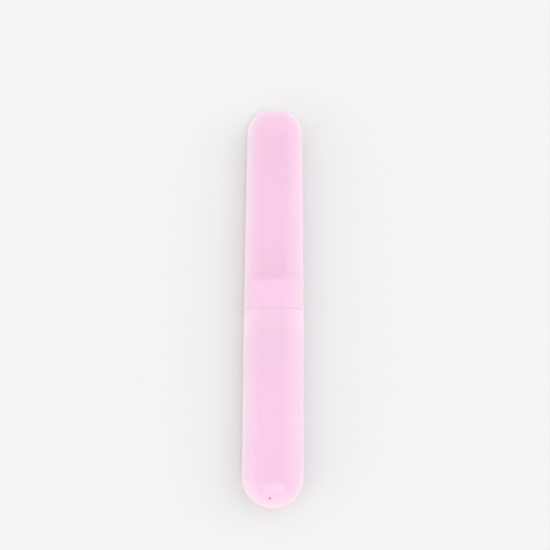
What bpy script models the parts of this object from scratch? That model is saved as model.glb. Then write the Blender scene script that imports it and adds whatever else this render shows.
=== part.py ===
"""Travel case for one toothbrush, in two mouldings: a base with an integral neck, and a cap.

The case lies on its back. X is its width, Y its length towards the cap, and Z points out of its front.
Both halves are described from the seam outwards: their own origin is the centre of the seam, on the line
along which the cap pulls off. All sizes are in metres.

The cross-section is an oval with flat strips, which no turned profile gives, so each half is lofted. A wall is
a row of stations, and a station is an oval ring across the length, at a depth below the outer surface. The
rings run from the outer tip over the mouth to the inner tip, and make one closed skin.
"""

import math
from collections import namedtuple

import bmesh
import bpy
from mathutils import Matrix, Vector

# Outer form
BASE_LENGTH = 0.094        # seam to the tip of the base
CAP_LENGTH = 0.111         # seam to the tip of the cap
CASE_WIDTH = 0.030         # at the seam
CASE_THICKNESS = 0.020
FLAT_WIDTH = 0.008         # flat strip along the middle of the front and the back
END_LENGTH = 0.0142        # length of each rounded end
DRAFT = 0.0042             # narrowing of each side per unit of length, away from the seam

# Walls and fits
CAP_WALL = 0.0012
NECK_WALL = 0.0010
FIT_CLEARANCE = 0.0003     # around the neck, inside the cap
SEAT_GAP = 0.0003          # between the mouth of the cap and the shoulder of the base

# Neck
NECK_LENGTH = 0.017        # from the shoulder to its end
LEAD_IN_LENGTH = 0.002     # thinner tip that guides the cap on
LEAD_IN_DEPTH = 0.0004
LEAD_IN_SLOPE = 0.0004     # length over which the tip steps in

# Bead round the neck, and the groove in the cap that it settles in
BEAD_FROM_SHOULDER = 0.006
BEAD_WIDTH = 0.0016
BEAD_HEIGHT = 0.0002       # less than the clearance, so the cap slides over it

# Edges
SEAM_BAND_WIDTH = 0.0016   # shallow band round the base, next to the seam
SEAM_BAND_DEPTH = 0.0002
EDGE_RADIUS = 0.0003       # mouth of the cap, shoulder and neck end
MOST_OF_WALL = 0.4         # share of a wall's thickness that one rounded edge may take

# Vent hole through the front of the base's rounded end, with a funnel at its mouth
VENT_DIAMETER = 0.0008
VENT_MOUTH = 0.0021        # width of the funnel at the surface
VENT_FROM_TIP = 0.0042
VENT_OFFSET = -0.0013      # to the left of the middle

# Fineness of the meshes
ARC_STEPS = 11             # per quarter of an oval ring
END_STEPS = 10             # rings in a rounded end
EDGE_STEPS = 2             # rings in a rounded edge
BEAD_STEPS = 4
VENT_SIDES = 20
SMOOTH_ANGLE = math.radians(28)

# Finish: linear red, green and blue, and roughness
BASE_COLOUR = (0.99, 0.62, 0.81)
CAP_COLOUR = (0.99, 0.59, 0.79)
FROST = 0.42
IOR = 1.49

# Depths of the fitting surfaces below the outer surface
NECK_DEPTH = CAP_WALL + FIT_CLEARANCE
NECK_TIP_DEPTH = NECK_DEPTH + LEAD_IN_DEPTH
BORE_DEPTH = NECK_DEPTH + NECK_WALL

Station = namedtuple("Station", "along half_width half_height half_flat")


def clear_scene():
    for obj in list(bpy.data.objects):
        bpy.data.objects.remove(obj, do_unlink=True)


def new_collection(name):
    collection = bpy.data.collections.new(name)
    bpy.context.scene.collection.children.link(collection)
    return collection


def plastic(name, colour):
    material = bpy.data.materials.new(name)
    material.use_nodes = True
    shader = material.node_tree.nodes["Principled BSDF"]
    shader.inputs["Base Color"].default_value = (*colour, 1.0)
    shader.inputs["Roughness"].default_value = FROST
    shader.inputs["Metallic"].default_value = 0.0
    shader.inputs["IOR"].default_value = IOR
    material.diffuse_color = (*colour, 1.0)
    return material


# Stations


def outer_half_width(along):
    """Half of the case's width at a distance from the seam. Both halves narrow in the same way."""
    return CASE_WIDTH / 2 - DRAFT * abs(along)


def wall_station(along, depth, half_width=None):
    """An oval ring of the straight part, `depth` below the surface that is half_width from the middle."""
    if half_width is None:
        half_width = outer_half_width(along)
    return Station(along, half_width - depth, CASE_THICKNESS / 2 - depth, FLAT_WIDTH / 2)


def rounded_end(tip, depth, half_width):
    """Rings of a rounded end, from the straight part to the tip, where the ring has no size."""
    direction = math.copysign(1, tip)
    start = tip - direction * END_LENGTH
    ring = wall_station(start, depth, half_width)
    stations = []
    for step in range(END_STEPS + 1):
        angle = math.pi / 2 * step / END_STEPS
        size = math.cos(angle) if step < END_STEPS else 0.0
        along = start + direction * (END_LENGTH - depth) * math.sin(angle)
        stations.append(Station(along, ring.half_width * size, ring.half_height * size, ring.half_flat * size))
    return stations


def bead(depth):
    """Rings of the low bead, on a wall at `depth`, or of the groove that it leaves in the wall outside it."""
    stations = []
    for step in range(BEAD_STEPS + 1):
        share = step / BEAD_STEPS
        along = BEAD_FROM_SHOULDER + BEAD_WIDTH * (share - 0.5)
        stations.append(wall_station(along, depth - BEAD_HEIGHT * math.sin(math.pi * share)))
    return stations


def rounded_edge(along, depth, wall, along_turn, depth_turn):
    """Rings of a rounded edge whose corner would be at (along, depth), from the wall's side to its end face.

    along_turn and depth_turn are +1 or -1. They point from the corner into the material.
    """
    radius = min(EDGE_RADIUS, wall * MOST_OF_WALL)
    stations = []
    for step in range(EDGE_STEPS + 1):
        angle = math.pi / 2 * step / EDGE_STEPS
        into_length = radius * (1 - math.sin(angle))
        into_wall = radius * (1 - math.cos(angle))
        stations.append(wall_station(along + along_turn * into_length, depth + depth_turn * into_wall))
    return stations


def base_stations():
    """The base, from its outer tip over the shoulder and the neck to the bottom of its bore.

    The bore is widest at its mouth, so that it draws off a core.
    """
    tip = -BASE_LENGTH
    bore_half_width = outer_half_width(0)
    bore_run = BASE_LENGTH - END_LENGTH + NECK_LENGTH
    tip_step = NECK_LENGTH - LEAD_IN_LENGTH

    stations = rounded_end(tip, 0, outer_half_width(tip + END_LENGTH))[::-1]
    stations.append(wall_station(-SEAM_BAND_WIDTH - SEAM_BAND_DEPTH, 0))
    stations.append(wall_station(-SEAM_BAND_WIDTH, SEAM_BAND_DEPTH))
    stations += rounded_edge(0, SEAM_BAND_DEPTH, NECK_DEPTH - SEAM_BAND_DEPTH, -1, 1)
    stations.append(wall_station(0, NECK_DEPTH))
    stations += bead(NECK_DEPTH)
    stations.append(wall_station(tip_step, NECK_DEPTH))
    stations.append(wall_station(tip_step + LEAD_IN_SLOPE, NECK_TIP_DEPTH))
    stations += rounded_edge(NECK_LENGTH, NECK_TIP_DEPTH, BORE_DEPTH - NECK_TIP_DEPTH, -1, 1)
    stations.append(wall_station(NECK_LENGTH, BORE_DEPTH, bore_half_width))
    return stations + rounded_end(tip, BORE_DEPTH, bore_half_width - DRAFT * bore_run)


def cap_stations():
    """The cap, from its outer tip over its mouth to the bottom of its inside."""
    half_width = outer_half_width(CAP_LENGTH - END_LENGTH)

    stations = rounded_end(CAP_LENGTH, 0, half_width)[::-1]
    stations += rounded_edge(SEAT_GAP, 0, CAP_WALL, 1, 1)
    stations += rounded_edge(SEAT_GAP, CAP_WALL, CAP_WALL, 1, -1)[::-1]
    stations += bead(CAP_WALL)
    return stations + rounded_end(CAP_LENGTH, CAP_WALL, half_width)


# Meshes


def ring_points(station):
    """Points of an oval ring in X and Z: four quarter ellipses, drawn apart in the middle by the flats."""
    if station.half_height == 0:
        return [Vector((0, station.along, 0))]
    side = station.half_width - station.half_flat
    points = []
    for quarter in range(4):
        flat_side = 1 if quarter in (0, 3) else -1
        ends_at_side = quarter % 2 == 1
        for step in range(ARC_STEPS + (0 if ends_at_side else 1)):
            angle = math.pi / 2 * (quarter + step / ARC_STEPS)
            across = flat_side * station.half_flat + side * math.cos(angle)
            points.append(Vector((across, station.along, station.half_height * math.sin(angle))))
    return points


def lofted_skin(name, stations):
    """A closed mesh through the rings of the stations, the first and last of which are single points."""
    bm = bmesh.new()
    rings = [[bm.verts.new(point) for point in ring_points(station)] for station in stations]
    for near, far in zip(rings, rings[1:]):
        for index in range(max(len(near), len(far))):
            following = index + 1
            corners = (
                near[index % len(near)],
                near[following % len(near)],
                far[following % len(far)],
                far[index % len(far)],
            )
            # At a tip, two of the corners are one point, which a face may hold only once.
            bm.faces.new(dict.fromkeys(corners))
    bmesh.ops.recalc_face_normals(bm, faces=bm.faces)
    mesh = bpy.data.meshes.new(name)
    bm.to_mesh(mesh)
    bm.free()
    mesh.shade_smooth()
    mesh.set_sharp_from_angle(angle=SMOOTH_ANGLE)
    return mesh


def add_half(collection, seam, name, stations, material):
    """One half of the case, as an object whose origin is the middle of the seam."""
    mesh = lofted_skin(name, stations)
    mesh.materials.append(material)
    half = bpy.data.objects.new(name, mesh)
    half.parent = seam
    collection.objects.link(half)
    return half


def front_of_base_end(across, from_tip):
    """A point on the front of the base's rounded end, and the direction square to the surface there."""
    past_start = max(END_LENGTH - from_tip, 0) / END_LENGTH
    size = math.sqrt(1 - past_start**2)
    half_flat = FLAT_WIDTH / 2 * size
    side = outer_half_width(BASE_LENGTH - END_LENGTH) - FLAT_WIDTH / 2
    past_flat = max(abs(across) - half_flat, 0) / side
    rise = math.sqrt(size**2 - past_flat**2)
    point = Vector((across, from_tip - BASE_LENGTH, CASE_THICKNESS / 2 * rise))
    outwards = Vector(
        (
            math.copysign(past_flat / side, across),
            -past_start / END_LENGTH,
            rise / (CASE_THICKNESS / 2),
        )
    )
    return point, outwards.normalized()


def add_vent_cutter(collection, seam, name, inner_diameter, outer_diameter, length):
    """A round cutter square to the front of the base's rounded end, with its middle on the surface."""
    point, outwards = front_of_base_end(VENT_OFFSET, VENT_FROM_TIP)
    mesh = bpy.data.meshes.new(name)
    bm = bmesh.new()
    bmesh.ops.create_cone(
        bm,
        cap_ends=True,
        segments=VENT_SIDES,
        radius1=inner_diameter / 2,
        radius2=outer_diameter / 2,
        depth=length,
    )
    bm.to_mesh(mesh)
    bm.free()
    cutter = bpy.data.objects.new(name, mesh)
    cutter.parent = seam
    cutter.matrix_local = Matrix.Translation(point) @ outwards.to_track_quat("Z", "Y").to_matrix().to_4x4()
    cutter.hide_render = True
    cutter.display_type = "WIRE"
    collection.objects.link(cutter)
    return cutter


def cut(obj, name, cutter):
    modifier = obj.modifiers.new(name, "BOOLEAN")
    modifier.operation = "DIFFERENCE"
    modifier.object = cutter


def build_case():
    clear_scene()
    parts = new_collection("toothbrush_holder")
    cutters = new_collection("cutters")
    cutters.hide_render = True

    # The case's own origin is under the middle of its length, on the surface that it lies on.
    seam = bpy.data.objects.new("seam", None)
    seam.empty_display_size = CASE_WIDTH / 2
    seam.location = (0, (BASE_LENGTH - CAP_LENGTH) / 2, CASE_THICKNESS / 2)
    parts.objects.link(seam)

    base = add_half(parts, seam, "base", base_stations(), plastic("base_plastic", BASE_COLOUR))
    add_half(parts, seam, "cap", cap_stations(), plastic("cap_plastic", CAP_COLOUR))
    pin_length = 2 * (BORE_DEPTH + VENT_MOUTH)
    pin = add_vent_cutter(cutters, seam, "vent_pin", VENT_DIAMETER, VENT_DIAMETER, pin_length)
    cut(base, "vent_hole", pin)
    # The funnel slopes at 45 degrees: the cone is as long as the mouth is wide, and twice as wide at its top.
    cone = add_vent_cutter(cutters, seam, "vent_cone", 0, 2 * VENT_MOUTH, VENT_MOUTH)
    cut(base, "vent_mouth", cone)


build_case()
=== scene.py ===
"""Looks of a two-piece travel case for one toothbrush, in frosted translucent plastic.

The case lies on its back on a pale floor. X is its width, Y its length towards the cap, and Z points out
of its front. Both halves are rebuilt here as finer skins than the CAD solids, from the same sizes apart
from the smallest edges and gaps. All sizes are in metres.

A skin is a row of stations, described round the middle of the seam. A station is an oval ring across the
length, at a depth below the outer surface. The skins of a half follow one another from its outer tip over
its mouth to its inner tip, and make one closed mesh.
"""

import math
from collections import namedtuple

import bmesh
import bpy
from mathutils import Matrix, Vector


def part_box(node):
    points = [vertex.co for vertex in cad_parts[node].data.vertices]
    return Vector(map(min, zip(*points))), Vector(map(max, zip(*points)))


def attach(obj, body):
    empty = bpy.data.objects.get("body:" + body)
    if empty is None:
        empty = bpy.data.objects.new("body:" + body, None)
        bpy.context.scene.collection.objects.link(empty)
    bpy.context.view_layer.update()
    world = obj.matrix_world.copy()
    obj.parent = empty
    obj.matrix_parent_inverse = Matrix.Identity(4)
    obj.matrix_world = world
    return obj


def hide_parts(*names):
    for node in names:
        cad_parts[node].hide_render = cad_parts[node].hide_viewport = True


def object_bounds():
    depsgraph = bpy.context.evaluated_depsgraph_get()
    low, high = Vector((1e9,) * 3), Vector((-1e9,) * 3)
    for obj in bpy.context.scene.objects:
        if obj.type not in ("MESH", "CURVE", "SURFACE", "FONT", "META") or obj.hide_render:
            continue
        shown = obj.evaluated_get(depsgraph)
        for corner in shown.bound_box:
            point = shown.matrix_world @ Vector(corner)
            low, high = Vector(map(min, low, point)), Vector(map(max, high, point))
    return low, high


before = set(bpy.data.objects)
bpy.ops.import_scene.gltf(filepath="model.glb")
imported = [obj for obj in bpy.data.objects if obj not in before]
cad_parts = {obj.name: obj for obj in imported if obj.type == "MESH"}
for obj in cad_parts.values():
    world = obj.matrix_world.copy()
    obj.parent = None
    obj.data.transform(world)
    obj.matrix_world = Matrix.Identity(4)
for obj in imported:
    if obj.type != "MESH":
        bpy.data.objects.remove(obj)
cad_low, cad_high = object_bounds()

# Outer form
CASE_WIDTH = 0.030  # at the seam
CASE_THICKNESS = cad_high.z - cad_low.z
FLAT_WIDTH = 0.008  # flat strip along the middle of the front and the back
END_LENGTH = 0.0142  # length of each rounded end
DRAFT = 0.0042  # narrowing of each side per unit of length, away from the seam

# Walls and fits
CAP_WALL = 0.0012
NECK_WALL = 0.0010
FIT_CLEARANCE = 0.0003  # round the neck, inside the cap
SEAT_GAP = 0.0003  # between the mouth of the cap and the shoulder, in the CAD
MOUTH_GAP = 0.00004  # the same gap, as narrow as it looks

# Thinner tip of the neck
LEAD_IN_LENGTH = 0.002
LEAD_IN_DEPTH = 0.0004
LEAD_IN_SLOPE = 0.0002  # length over which the tip steps in
SHADE_LINE_WIDTH = 0.0005  # of the deeper pink strips of painted shade at the step and at the end

# Bead round the neck, and the groove for it in the cap
BEAD_FROM_SHOULDER = 0.006
BEAD_WIDTH = 0.0016
BEAD_HEIGHT = 0.0002

# Edges
SEAM_BAND_WIDTH = 0.0016  # shallow band round the base, next to the seam
SEAM_BAND_DEPTH = 0.0001
MOUTH_ROUNDING = 0.0008  # outer edge of the cap's mouth, along the case
MOUTH_ROUNDING_DEPTH = 0.0002
EDGE_RADIUS = 0.00015  # shoulder, end of the neck and inner edge of the cap's mouth

# Vent hole through the front of the base's rounded end, with a funnel at its mouth
VENT_DIAMETER = 0.0008
VENT_MOUTH = 0.0021  # width of the funnel at the surface
VENT_FROM_TIP = 0.0042
VENT_OFFSET = -0.0013  # to the left of the middle

# Places and lengths that the frame gives
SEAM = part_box("cap")[0].y - SEAT_GAP
MIDDLE = (cad_low.z + cad_high.z) / 2
BASE_LENGTH = SEAM - cad_low.y
CAP_LENGTH = cad_high.y - SEAM
NECK_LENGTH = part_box("base")[1].y - SEAM

# Depths of the fitting surfaces below the outer surface
NECK_DEPTH = CAP_WALL + FIT_CLEARANCE
NECK_TIP_DEPTH = NECK_DEPTH + LEAD_IN_DEPTH
BORE_DEPTH = NECK_DEPTH + NECK_WALL

# Fineness of the meshes
ARC_STEPS = 36  # per quarter of an oval ring
END_STEPS = 36  # rings in a rounded end
EDGE_STEPS = 5  # rings in a rounded edge
BEAD_STEPS = 8
RUN_LENGTH = 0.004  # about this far from ring to ring in between
VENT_SIDES = 48
SMOOTH_ANGLE = math.radians(35)

# Colours of the plastic
BASE_COLOUR = (0.99, 0.64, 0.845)
CAP_COLOUR = (0.99, 0.62, 0.83)
# Painted light: the paler colour that the rims and the ends of the halves are painted towards. The clouds
# also swing towards it.
LIGHT_AND_CLOUD_COLOUR = (0.99, 0.80, 0.91)
NECK_COLOUR = (0.99, 0.76, 0.90)
# Painted shade: deeper pink strips at the neck's step and at its end, for the shade of these edges seen
# through the cap.
END_SHADE_COLOUR = (0.65, 0.07, 0.24)
STEP_SHADE_COLOUR = (0.45, 0.03, 0.12)
INSIDE_COLOUR = (0.99, 0.72, 0.87)
# Painted glow: the wall of the vent hole, deeper pink for the light scattered through the plastic round it.
VENT_GLOW_COLOUR = (0.99, 0.53, 0.76)

# Clear share of each skin, which it lets straight through
OUTSIDE_CLEAR = 0.37
NECK_CLEAR = 0.18
SHADE_LINE_CLEAR = 0.05
VENT_CLEAR = 0.20
INSIDE_CLEAR = 0.95  # in the front half
BACK_INSIDE_CLEAR = 0.10
BACK_DENSE_BELOW = 0.006  # height up to which an inner skin has the clear share of the back
FRONT_CLEAR_ABOVE = 0.014  # height from which it has that of the front

# Pallor, painted light at the rims: 0 in the middle of the front and the back, and 1 at the sides
PALE_FROM_HEIGHT = 0.0099  # 0 this far above or below the middle of the case, and beyond
PALE_TO_HEIGHT = 0.0040  # 1 from here to the middle
PALE_DENSITY = 0.50  # part of an outer skin's clear share that a pallor of 1 takes away
SHOULDER_PAINTED_LIGHT = 0.14  # painted light, added to the base towards the seam, against the shade inside it there
SHOULDER_LENGTH = 0.02
CAP_TIP_PAINTED_LIGHT = 0.20  # painted light, added to the cap towards its tip, which turns away from the lamps
CAP_TIP_LENGTH = 0.026
CLOUDINESS = 0.08  # added or taken away by the clouds
CLOUD_SCALE = 90
CLOUD_DETAIL = 2

# Frosted surface
FROST = 0.38  # roughness
INSIDE_FROST = 0.30
FROST_SPREAD = 0.06  # roughness added or taken away from place to place
FROST_SCALE = 420
FROST_DETAIL = 3
GRAIN_STRENGTH = 0.12
GRAIN_HEIGHT = 0.00003
GRAIN_SCALE = 5200
GRAIN_DETAIL = 2
SHEEN = 0.4
SHEEN_ROUGHNESS = 0.5
SHEEN_TINT = (1.0, 0.93, 0.97)
COAT = 0.8
COAT_ROUGHNESS = 0.24
PLASTIC_IOR = 1.49

# Floor
FLOOR_SIZE = 20
FLOOR_DROP = 0.0002  # below the case
FLOOR_COLOUR = (0.75, 0.75, 0.75)
FLOOR_ROUGHNESS = 0.9
FLOOR_GLOSS = 0.1

# Light. The glint gives the soft highlight near the tip of the base.
WORLD_COLOUR = (1, 1, 1)
WORLD_STRENGTH = 0.93
KEY_STRENGTH = 0.51
KEY_ANGLE = math.radians(60)
KEY_FROM = Vector((0.75, 0.1, 0.65))
FILL_STRENGTH = 0.46
FILL_ANGLE = math.radians(60)
FILL_FROM = Vector((-0.8, -0.35, 0.45))
GLINT_STRENGTH = 0.40
GLINT_ANGLE = math.radians(10)
GLINT_FROM = Vector((0.11, -0.49, 0.87))

# Camera, from the outline of the case in the photograph
CAMERA_AIM = Vector((0.0005, 0.0109, 0.010))
CAMERA_DISTANCE = 0.418
CAMERA_TILT = math.radians(16.3)  # from straight above towards the base
CAMERA_TURN = 0.005  # radians about the upright axis
CAMERA_LENS = 54.3  # millimetres, like the sensor's width
CAMERA_SENSOR = 36.0
CAMERA_CLIP = 0.01

Station = namedtuple("Station", "along half_width half_height half_flat")
# A stretch along the case that is painted lighter, by its pallor, more so towards its end
PaintedLightPart = namedtuple("PaintedLightPart", "start end pallor")

NO_PAINTED_LIGHT = PaintedLightPart(0, 1, 0)  # a pallor of 0 adds nothing


# Stations


def outer_half_width(along):
    """Half of the case's width at a distance from the seam. Both halves narrow in the same way."""
    return CASE_WIDTH / 2 - DRAFT * abs(along)


def wall_station(along, depth, half_width=None):
    """A ring of the straight part, at a depth below the surface that is half_width from the middle."""
    if half_width is None:
        half_width = outer_half_width(along)
    return Station(along, half_width - depth, CASE_THICKNESS / 2 - depth, FLAT_WIDTH / 2)


def rounded_end(tip, depth, half_width):
    """Rings of a rounded end, from the straight part to the tip, where the ring has no size."""
    direction = math.copysign(1, tip)
    start = tip - direction * END_LENGTH
    ring = wall_station(start, depth, half_width)
    stations = []
    for step in range(END_STEPS + 1):
        angle = math.pi / 2 * step / END_STEPS
        size = math.cos(angle) if step < END_STEPS else 0.0
        along = start + direction * (END_LENGTH - depth) * math.sin(angle)
        halves = (ring.half_width * size, ring.half_height * size, ring.half_flat * size)
        stations.append(Station(along, *halves))
    return stations


def bead(depth):
    """Rings of the low bead on a wall at a depth, or of the groove for it in the wall outside it."""
    stations = []
    for step in range(BEAD_STEPS + 1):
        share = step / BEAD_STEPS
        along = BEAD_FROM_SHOULDER + BEAD_WIDTH * (share - 0.5)
        stations.append(wall_station(along, depth - BEAD_HEIGHT * math.sin(math.pi * share) ** 2))
    return stations


def rounded_edge(along, depth, length_radius, depth_radius):
    """Rings from a wall's surface round its edge. The signs of the radii say which way the wall lies."""
    stations = []
    for step in range(EDGE_STEPS + 1):
        angle = math.pi / 2 * step / EDGE_STEPS
        into_length = length_radius * (1 - math.sin(angle))
        into_wall = depth_radius * (1 - math.cos(angle))
        stations.append(wall_station(along + into_length, depth + into_wall))
    return stations


def run(start, end):
    """Rings about RUN_LENGTH apart between two stations."""
    count = max(1, round(abs(end.along - start.along) / RUN_LENGTH))
    return [
        Station(*(a + (b - a) * step / count for a, b in zip(start, end)))
        for step in range(1, count)
    ]


def joined(*stretches):
    """The stretches one after another, with a run of rings between them."""
    stations = []
    for stretch in stretches:
        if stations:
            stations += run(stations[-1], stretch[0])
        stations += stretch
    return stations


def base_skins():
    """The body, the neck, the step and the straight of its tip, the edge at its end, and the bore."""
    tip = -BASE_LENGTH
    bore_half_width = outer_half_width(0)
    bore_run = BASE_LENGTH - END_LENGTH + NECK_LENGTH
    lead_in = NECK_LENGTH - LEAD_IN_LENGTH
    seam_band = [
        wall_station(-SEAM_BAND_WIDTH - SEAM_BAND_DEPTH, 0),
        wall_station(-SEAM_BAND_WIDTH, SEAM_BAND_DEPTH),
    ]
    body = joined(
        rounded_end(tip, 0, outer_half_width(tip + END_LENGTH))[::-1],
        seam_band,
        rounded_edge(0, SEAM_BAND_DEPTH, -EDGE_RADIUS, EDGE_RADIUS),
    )
    neck = joined(
        [wall_station(0, NECK_DEPTH)],
        bead(NECK_DEPTH),
        [wall_station(lead_in, NECK_DEPTH)],
    )
    # The step and the end edge carry strips of painted shade.
    step = [wall_station(lead_in + along, NECK_TIP_DEPTH) for along in (LEAD_IN_SLOPE, SHADE_LINE_WIDTH)]
    strip = [wall_station(NECK_LENGTH - SHADE_LINE_WIDTH, NECK_TIP_DEPTH)]
    edge = rounded_edge(NECK_LENGTH, NECK_TIP_DEPTH, -EDGE_RADIUS, EDGE_RADIUS)
    bore = joined(
        [wall_station(NECK_LENGTH, BORE_DEPTH, bore_half_width)],
        rounded_end(tip, BORE_DEPTH, bore_half_width - DRAFT * bore_run),
    )
    return body, neck, step, strip, edge, bore


def cap_skins():
    """The outside and the inside."""
    half_width = outer_half_width(CAP_LENGTH - END_LENGTH)
    outside = joined(
        rounded_end(CAP_LENGTH, 0, half_width)[::-1],
        rounded_edge(MOUTH_GAP, 0, MOUTH_ROUNDING, MOUTH_ROUNDING_DEPTH),
    )
    inside = joined(
        rounded_edge(MOUTH_GAP, CAP_WALL, EDGE_RADIUS, -EDGE_RADIUS)[::-1],
        bead(CAP_WALL),
        rounded_end(CAP_LENGTH, CAP_WALL, half_width),
    )
    return outside, inside


# Meshes


def oval(station):
    """Points of a ring: four quarter ellipses, drawn apart by the flats on the front and the back."""
    if station.half_height == 0:
        return [Vector((0, station.along, 0))]
    side = station.half_width - station.half_flat
    points = []
    for quarter in range(4):
        flat_side = 1 if quarter in (0, 3) else -1
        ends_at_side = quarter % 2 == 1
        for step in range(ARC_STEPS + (0 if ends_at_side else 1)):
            angle = math.pi / 2 * (quarter + step / ARC_STEPS)
            across = flat_side * station.half_flat + side * math.cos(angle)
            points.append(Vector((across, station.along, station.half_height * math.sin(angle))))
    return points


def circle(radius, height):
    """Points of a level ring of the vent hole's cutter."""
    angles = [math.tau * side / VENT_SIDES for side in range(VENT_SIDES)]
    return [Vector((radius * math.cos(angle), radius * math.sin(angle), height)) for angle in angles]


def mesh_through(name, rings, material_indices):
    """A closed mesh through rings of points. A ring of one point closes an end.

    The faces between two rings have the material index of the second.
    """
    bm = bmesh.new()
    rings = [[bm.verts.new(point) for point in ring] for ring in rings]
    for near, far, index in zip(rings, rings[1:], material_indices[1:]):
        for number in range(max(len(near), len(far))):
            following = number + 1
            corners = (
                near[number % len(near)],
                near[following % len(near)],
                far[following % len(far)],
                far[number % len(far)],
            )
            # Where an end closes, two of the corners are one point, which a face may hold only once.
            bm.faces.new(dict.fromkeys(corners)).material_index = index
    bmesh.ops.recalc_face_normals(bm, faces=bm.faces)
    mesh = bpy.data.meshes.new(name)
    bm.to_mesh(mesh)
    bm.free()
    return mesh


def add_object(name, data):
    obj = bpy.data.objects.new(name, data)
    bpy.context.scene.collection.objects.link(obj)
    return obj


def front_of_base_end(across, from_tip):
    """A point on the front of the base's rounded end, and the direction square to the surface there."""
    past_start = (END_LENGTH - from_tip) / END_LENGTH
    size = math.sqrt(1 - past_start**2)
    side = outer_half_width(BASE_LENGTH - END_LENGTH) - FLAT_WIDTH / 2
    past_flat = max(abs(across) - FLAT_WIDTH / 2 * size, 0) / side
    rise = math.sqrt(size**2 - past_flat**2)
    point = Vector((across, SEAM + from_tip - BASE_LENGTH, MIDDLE + CASE_THICKNESS / 2 * rise))
    sideways = math.copysign(past_flat / side, across)
    outwards = Vector((sideways, -past_start / END_LENGTH, rise / (CASE_THICKNESS / 2)))
    return point, outwards.normalized()


def vent_cutter(material):
    """A pin that goes through the wall, with a funnel of 45 degrees where it meets the surface.

    The wall of the hole takes the pin's material.
    """
    point, outwards = front_of_base_end(VENT_OFFSET, VENT_FROM_TIP)
    funnel = (VENT_MOUTH - VENT_DIAMETER) / 2
    bottom = -2 * BORE_DEPTH
    rings = [
        [Vector((0, 0, bottom))],
        circle(VENT_DIAMETER / 2, bottom),
        circle(VENT_DIAMETER / 2, -funnel),
        circle(VENT_MOUTH / 2 + funnel, funnel),
        [Vector((0, 0, funnel))],
    ]
    mesh = mesh_through("vent_cutter", rings, [0] * len(rings))
    mesh.transform(Matrix.Translation(point) @ outwards.to_track_quat("Z", "Y").to_matrix().to_4x4())
    mesh.materials.append(material)
    return add_object("vent_cutter", mesh)


def cut_away(piece, cutter):
    """The piece keeps what lies outside the cutter, which is then removed."""
    modifier = piece.modifiers.new("cut", "BOOLEAN")
    modifier.operation = "DIFFERENCE"
    modifier.solver = "EXACT"
    modifier.material_mode = "TRANSFER"
    modifier.object = cutter
    evaluated = piece.evaluated_get(bpy.context.evaluated_depsgraph_get())
    mesh = bpy.data.meshes.new_from_object(evaluated)
    mesh.name = piece.name
    piece.modifiers.clear()
    piece.data = mesh
    bpy.data.objects.remove(cutter)


# Plastics


def add_node(tree, kind, inputs=None, **settings):
    """A shader node. An input is given its number or colour, or the socket that feeds it."""
    node = tree.nodes.new("ShaderNode" + kind)
    for name, value in settings.items():
        setattr(node, name, value)
    for name, value in (inputs or {}).items():
        if isinstance(value, bpy.types.NodeSocket):
            tree.links.new(value, node.inputs[name])
        else:
            node.inputs[name].default_value = value
    return node


def calculated(tree, operation, *values, use_clamp=False):
    """The result of a Math node on numbers or sockets."""
    node = add_node(tree, "Math", dict(enumerate(values)), operation=operation, use_clamp=use_clamp)
    return node.outputs["Value"]


def mapped(tree, value, from_range, to_range=(0, 1), **settings):
    """A number taken from one range to another, and kept within that."""
    inputs = {
        "Value": value,
        "From Min": from_range[0],
        "From Max": from_range[1],
        "To Min": to_range[0],
        "To Max": to_range[1],
    }
    return add_node(tree, "MapRange", inputs, **settings).outputs["Result"]


def noise(tree, place, scale, detail):
    return add_node(tree, "TexNoise", {"Vector": place, "Scale": scale, "Detail": detail}).outputs["Fac"]


def varied(tree, place, scale, detail, middle, spread):
    """A number that noise moves up and down from a middle value."""
    return mapped(tree, noise(tree, place, scale, detail), (0, 1), (middle - spread, middle + spread))


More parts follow.
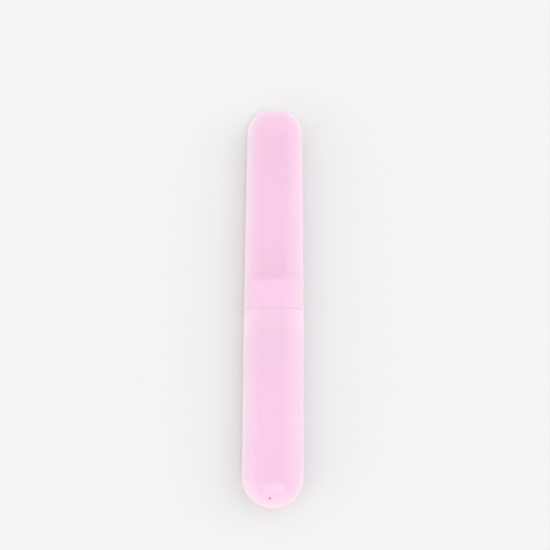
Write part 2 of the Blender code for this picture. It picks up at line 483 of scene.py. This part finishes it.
def frosted_plastic(
    name, colour, clear, light_and_cloud_colour=None, roughness=FROST, clear_behind=None, painted_light_part=NO_PAINTED_LIGHT
):
    """Frosted plastic with faint clouds and a fine grain, painted paler where the surface turns to the
    side, as by light.

    An outer skin has a soft coat, and is denser where it is paler. Both grow along the part of it that is
    painted lighter, against shade. An inner skin has no coat, and a clear share of its own in the back half
    of the case.
    """
    material = bpy.data.materials.new(name)
    material.use_nodes = True
    tree = material.node_tree
    shader = tree.nodes["Principled BSDF"]
    place = add_node(tree, "TexCoord").outputs["Object"]
    split = add_node(tree, "SeparateXYZ", {"Vector": place})
    height = split.outputs["Z"]

    from_middle = calculated(tree, "ABSOLUTE", calculated(tree, "SUBTRACT", height, MIDDLE))
    # Painted light at the rims, where the surface turns to the side
    painted_rim_light = mapped(tree, from_middle, (PALE_FROM_HEIGHT, PALE_TO_HEIGHT))
    stretch = (painted_light_part.start, painted_light_part.end)
    painted_light_ramp = mapped(tree, split.outputs["Y"], stretch, interpolation_type="SMOOTHSTEP")
    clouds = varied(tree, place, CLOUD_SCALE, CLOUD_DETAIL, 0, CLOUDINESS)
    painted_part_light_and_clouds = calculated(tree, "MULTIPLY_ADD", painted_light_ramp, painted_light_part.pallor, clouds)
    # pallor: the painted light and the clouds, which move the colour towards its paler one
    pallor = calculated(tree, "ADD", painted_rim_light, painted_part_light_and_clouds, use_clamp=True)
    colours = {0: pallor, 6: (*colour, 1), 7: (*(light_and_cloud_colour or colour), 1)}
    tint = add_node(tree, "Mix", colours, data_type="RGBA").outputs[2]
    frost = varied(tree, place, FROST_SCALE, FROST_DETAIL, roughness, FROST_SPREAD)
    grain = noise(tree, place, GRAIN_SCALE, GRAIN_DETAIL)
    bumps = add_node(tree, "Bump", {"Height": grain, "Strength": GRAIN_STRENGTH, "Distance": GRAIN_HEIGHT})
    if clear_behind is None:
        side_density = calculated(tree, "MULTIPLY_ADD", pallor, clear * PALE_DENSITY, 1 - clear)
        density = calculated(tree, "MULTIPLY_ADD", painted_light_ramp, clear * painted_light_part.pallor, side_density)
        shader.inputs["Coat Weight"].default_value = COAT
        shader.inputs["Coat Roughness"].default_value = COAT_ROUGHNESS
    else:
        heights = (BACK_DENSE_BELOW, FRONT_CLEAR_ABOVE)
        density = mapped(tree, height, heights, (1 - clear_behind, 1 - clear))

    tree.links.new(tint, shader.inputs["Base Color"])
    tree.links.new(frost, shader.inputs["Roughness"])
    tree.links.new(bumps.outputs["Normal"], shader.inputs["Normal"])
    tree.links.new(density, shader.inputs["Alpha"])
    shader.inputs["IOR"].default_value = PLASTIC_IOR
    shader.inputs["Sheen Weight"].default_value = SHEEN
    shader.inputs["Sheen Roughness"].default_value = SHEEN_ROUGHNESS
    shader.inputs["Sheen Tint"].default_value = (*SHEEN_TINT, 1)
    return material


def inside_plastic(name):
    """The plastic of an inner skin."""
    behind = BACK_INSIDE_CLEAR
    return frosted_plastic(name, INSIDE_COLOUR, INSIDE_CLEAR, roughness=INSIDE_FROST, clear_behind=behind)


# The two halves


def add_half(name, skins, materials, cutter=None):
    """One half of the case, in place of the CAD node of its name. Each skin has its own material."""
    rings = [oval(station) for skin in skins for station in skin]
    slots = list(dict.fromkeys(materials))
    indices = [slots.index(material) for skin, material in zip(skins, materials) for _ in skin]
    mesh = mesh_through(name + "_shell", rings, indices)
    mesh.transform(Matrix.Translation((0, SEAM, MIDDLE)))
    for material in slots:
        mesh.materials.append(material)
    piece = add_object(name + "_shell", mesh)
    if cutter:
        cut_away(piece, cutter)
    piece.data.shade_smooth()
    piece.data.set_sharp_from_angle(angle=SMOOTH_ANGLE)
    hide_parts(name)
    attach(piece, name)


def add_base():
    # Painted light on the base towards the seam
    shoulder = PaintedLightPart(SEAM - SHOULDER_LENGTH, SEAM, SHOULDER_PAINTED_LIGHT)
    body = frosted_plastic("base_frost", BASE_COLOUR, OUTSIDE_CLEAR, LIGHT_AND_CLOUD_COLOUR, painted_light_part=shoulder)
    neck = frosted_plastic("neck_frost", NECK_COLOUR, NECK_CLEAR)
    # Strips of painted shade at the neck's step and end edge
    end_painted_shade = frosted_plastic("end_painted_shade", END_SHADE_COLOUR, SHADE_LINE_CLEAR)
    step_painted_shade = frosted_plastic("step_painted_shade", STEP_SHADE_COLOUR, SHADE_LINE_CLEAR)
    inside = inside_plastic("base_inside")
    # The wall of the vent hole is painted with that glow.
    vent = frosted_plastic("vent_painted_glow", VENT_GLOW_COLOUR, VENT_CLEAR)
    add_half("base", base_skins(), (body, neck, step_painted_shade, neck, end_painted_shade, inside), vent_cutter(vent))


def add_cap():
    tip = SEAM + CAP_LENGTH
    # Painted light on the cap towards its tip
    painted_tip_light = PaintedLightPart(tip - CAP_TIP_LENGTH, tip, CAP_TIP_PAINTED_LIGHT)
    outside = frosted_plastic("cap_frost", CAP_COLOUR, OUTSIDE_CLEAR, LIGHT_AND_CLOUD_COLOUR, painted_light_part=painted_tip_light)
    add_half("cap", cap_skins(), (outside, inside_plastic("cap_inside")))


# Floor, light and camera


def add_floor():
    bpy.ops.mesh.primitive_plane_add(size=FLOOR_SIZE, location=(0, 0, -FLOOR_DROP))
    floor = bpy.context.object
    floor.name = "floor"
    paint = bpy.data.materials.new("floor_paint")
    paint.use_nodes = True
    shader = paint.node_tree.nodes["Principled BSDF"]
    shader.inputs["Base Color"].default_value = (*FLOOR_COLOUR, 1)
    shader.inputs["Roughness"].default_value = FLOOR_ROUGHNESS
    shader.inputs["Specular IOR Level"].default_value = FLOOR_GLOSS
    floor.data.materials.append(paint)


def add_sun(name, comes_from, strength, angle):
    lamp = bpy.data.lights.new(name, "SUN")
    lamp.energy = strength
    lamp.angle = angle
    sun = add_object(name, lamp)
    sun.location = comes_from
    sun.rotation_euler = (-comes_from).to_track_quat("-Z", "Y").to_euler()


def add_light():
    world = bpy.data.worlds.new("studio")
    world.use_nodes = True
    background = world.node_tree.nodes["Background"]
    background.inputs["Color"].default_value = (*WORLD_COLOUR, 1)
    background.inputs["Strength"].default_value = WORLD_STRENGTH
    bpy.context.scene.world = world
    add_sun("key", KEY_FROM, KEY_STRENGTH, KEY_ANGLE)
    add_sun("fill", FILL_FROM, FILL_STRENGTH, FILL_ANGLE)
    add_sun("glint", GLINT_FROM, GLINT_STRENGTH, GLINT_ANGLE)


def add_camera():
    data = bpy.data.cameras.new("camera")
    data.lens = CAMERA_LENS
    data.sensor_width = CAMERA_SENSOR
    data.clip_start = CAMERA_CLIP
    camera = add_object("camera", data)
    away = Vector((0, -math.sin(CAMERA_TILT), math.cos(CAMERA_TILT)))
    away.rotate(Matrix.Rotation(CAMERA_TURN, 3, "Z"))
    camera.location = CAMERA_AIM + away * CAMERA_DISTANCE
    camera.rotation_euler = (-away).to_track_quat("-Z", "Y").to_euler()
    bpy.context.scene.camera = camera


add_base()
add_cap()
add_floor()
add_light()
add_camera()
bpy.context.scene.view_settings.view_transform = "Standard"
